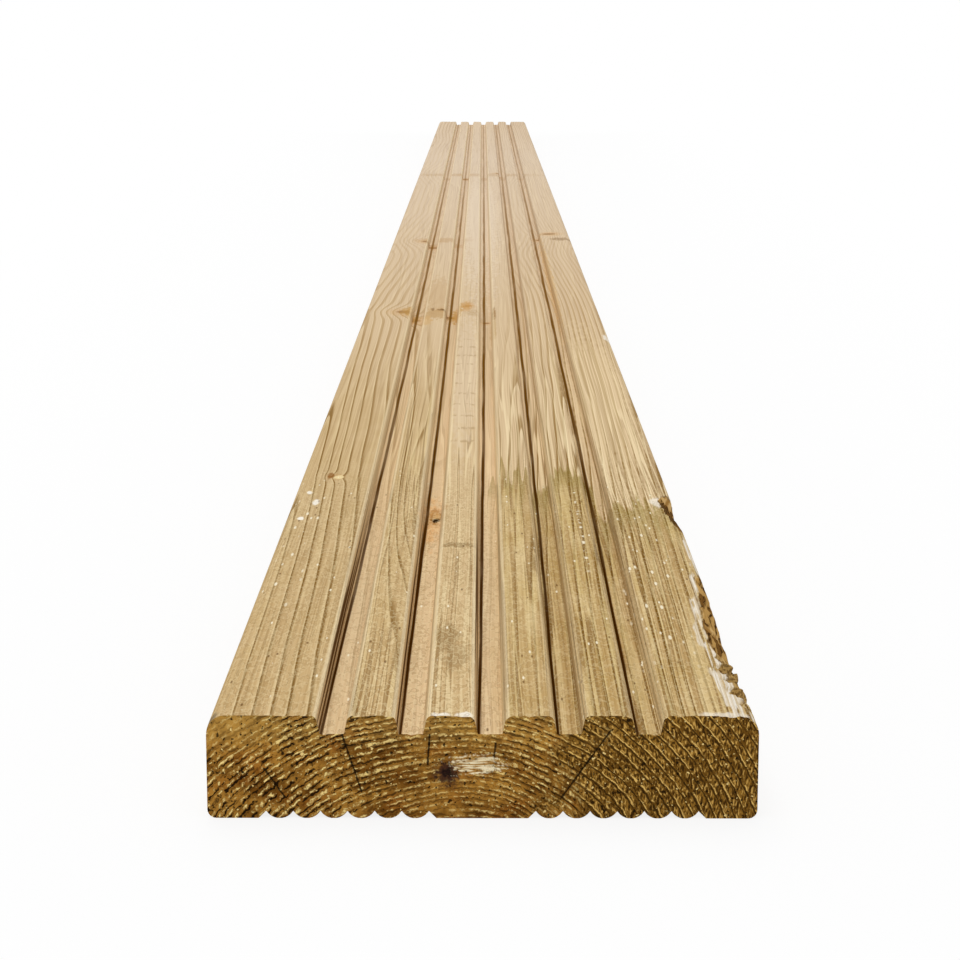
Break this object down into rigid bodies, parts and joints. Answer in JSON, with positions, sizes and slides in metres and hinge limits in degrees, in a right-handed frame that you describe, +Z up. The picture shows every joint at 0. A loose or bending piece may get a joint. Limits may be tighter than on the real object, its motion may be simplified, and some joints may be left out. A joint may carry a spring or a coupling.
{
  "type": "decking board",
  "caption": "Softwood decking board with broad rounded grooves along its walking face and a reeded underside, square-sawn ends and wane on one corner.",
  "frame": {"origin": "on the floor under the middle of the board", "axes": "+X across the width, +Y along the length away from the end shown in the picture, +Z up out of the broadly grooved walking face"},
  "size_m": [0.145, 3.6, 0.028],
  "materials": {
    "treated_softwood": "planed and pressure treated, unsealed"
  },
  "bodies": {
    "root": {"decking_board": "treated_softwood"}
  },
  "joints": []
}
